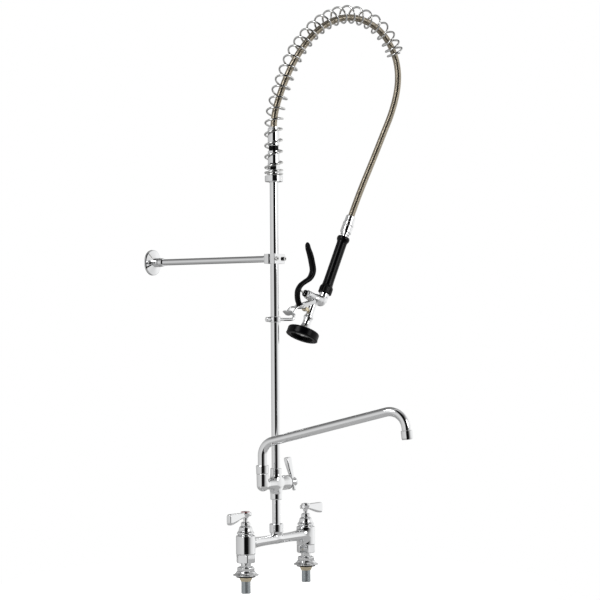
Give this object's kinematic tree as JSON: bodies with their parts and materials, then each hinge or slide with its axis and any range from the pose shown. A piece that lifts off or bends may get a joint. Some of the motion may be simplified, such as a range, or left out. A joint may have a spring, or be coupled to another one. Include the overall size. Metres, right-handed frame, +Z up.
{
  "type": "pre rinse faucet",
  "caption": "Deck-mounted pre-rinse unit: two lever valves, add-on swing spout, tall riser with wall bracket, and a spring-borne hose with a squeeze sprayer.",
  "frame": {"origin": "on the deck plane, under the gaskets, midway between the two inlet shanks and below the riser", "axes": "+X along the bridge from the hot to the cold inlet, +Y towards the wall behind, +Z up the riser"},
  "size_m": [0.471, 0.6113, 1.1541],
  "materials": {
    "chrome": "polished",
    "bright_steel": "polished wire",
    "hose_steel": "fine ribbed",
    "shank_steel": "satin",
    "brass": "satin",
    "rubber": "matte",
    "grip_black": "satin",
    "lever_black": "gloss",
    "nylon": "matte",
    "index_red": "gloss",
    "index_blue": "gloss"
  },
  "bodies": {
    "body": {"inlet_shanks": "shank_steel", "coupling_nuts": "chrome", "deck_gaskets": "rubber", "escutcheons": "chrome", "lock_rings": "chrome", "tapered_washers": "brass", "mixing_body": "chrome", "cartridges": "brass", "bonnets": "chrome", "packing_nuts": "chrome", "body_seals": "nylon", "lower_nipple": "chrome", "addon_body": "chrome", "addon_cartridge": "brass", "addon_bonnet": "chrome", "spout_nut": "chrome", "riser": "chrome", "clamp_cap": "chrome", "clamp_body": "chrome", "bracket_screws": "bright_steel", "wall_arm": "chrome", "wall_flange": "chrome", "wall_sleeve": "chrome", "snap_ring": "bright_steel", "riser_adapter": "chrome", "swivel_washer": "rubber"},
    "hot_handle": {"stem_hot": "chrome", "handle_hot": "chrome", "index_screw_hot": "index_red"},
    "cold_handle": {"stem_cold": "chrome", "handle_cold": "chrome", "index_screw_cold": "index_blue"},
    "addon_lever": {"addon_stem": "chrome", "addon_handle": "chrome", "addon_index_screw": "chrome"},
    "spout": {"spout_tube": "chrome", "spout_seals": "rubber", "spout_tip_collar": "chrome", "stream_guide": "nylon"},
    "overhead": {"spring_holder": "chrome", "hose_nut_upper": "chrome", "hose": "hose_steel", "overhead_spring": "bright_steel"},
    "hook": {"finger_hook": "chrome", "thumb_screw": "chrome"},
    "sprayer": {"hose_nut_lower": "chrome", "handle_tube": "chrome", "grip": "grip_black", "grip_collar": "chrome", "spray_body": "chrome", "valve_bonnet": "chrome", "valve_cap": "rubber", "spray_bell": "chrome", "bumper": "rubber", "spray_face": "bright_steel", "face_screw": "bright_steel", "pivot_pin": "bright_steel"},
    "plunger": {"spray_plunger": "bright_steel"},
    "squeeze_lever": {"spray_lever": "lever_black"},
    "ring": {"hold_down_ring": "bright_steel"}
  },
  "joints": [
    {"name": "body_to_hot_handle", "type": "hinge", "parent": "body", "child": "hot_handle", "pos_m": [-0.1016, 0, 0.12], "axis": [0, 0, 1], "range_deg": [0, 90]},
    {"name": "body_to_cold_handle", "type": "hinge", "parent": "body", "child": "cold_handle", "pos_m": [0.1016, 0, 0.12], "axis": [0, 0, 1], "range_deg": [-90, 0]},
    {"name": "body_to_addon_lever", "type": "hinge", "parent": "body", "child": "addon_lever", "pos_m": [0.052, 0, 0.171], "axis": [1, 0, 0], "range_deg": [0, 90]},
    {"name": "body_to_spout", "type": "hinge", "parent": "body", "child": "spout", "pos_m": [-0.045, 0, 0.19], "axis": [0, 0, 1], "range_deg": [-160, 50]},
    {"name": "body_to_overhead", "type": "hinge", "parent": "body", "child": "overhead", "pos_m": [0, 0, 0.84], "axis": [0, 0, 1], "range_deg": [-142, 60]},
    {"name": "body_to_hook", "type": "hinge", "parent": "body", "child": "hook", "pos_m": [0, 0, 0.491], "axis": [0, 0, 1], "range_deg": [-142, 60]},
    {"name": "overhead_to_sprayer", "type": "slide", "parent": "overhead", "child": "sprayer", "axis": [0, 0, 1], "range_m": [0, 0.006], "deforming": ["hose"]},
    {"name": "sprayer_to_squeeze_lever", "type": "hinge", "parent": "sprayer", "child": "squeeze_lever", "pos_m": [0.05893, -0.01915, 0.51648], "axis": [0.309, 0.9511, 0], "range_deg": [0, 12], "stiffness_Nm_per_rad": 0.8, "springref_deg": -11.46},
    {"name": "sprayer_to_plunger", "type": "slide", "parent": "sprayer", "child": "plunger", "axis": [0.8688, -0.2823, -0.4067], "range_m": [0, 0.0065]},
    {"name": "sprayer_to_ring", "type": "hinge", "parent": "sprayer", "child": "ring", "pos_m": [0.05893, -0.01915, 0.51648], "axis": [0.309, 0.9511, 0], "range_deg": [0, 80]}
  ],
  "couplings": [
    {"joint": "body_to_hook", "follows": "body_to_overhead", "ratio": 1},
    {"joint": "sprayer_to_plunger", "follows": "sprayer_to_squeeze_lever", "m_per_rad": 0.029}
  ]
}
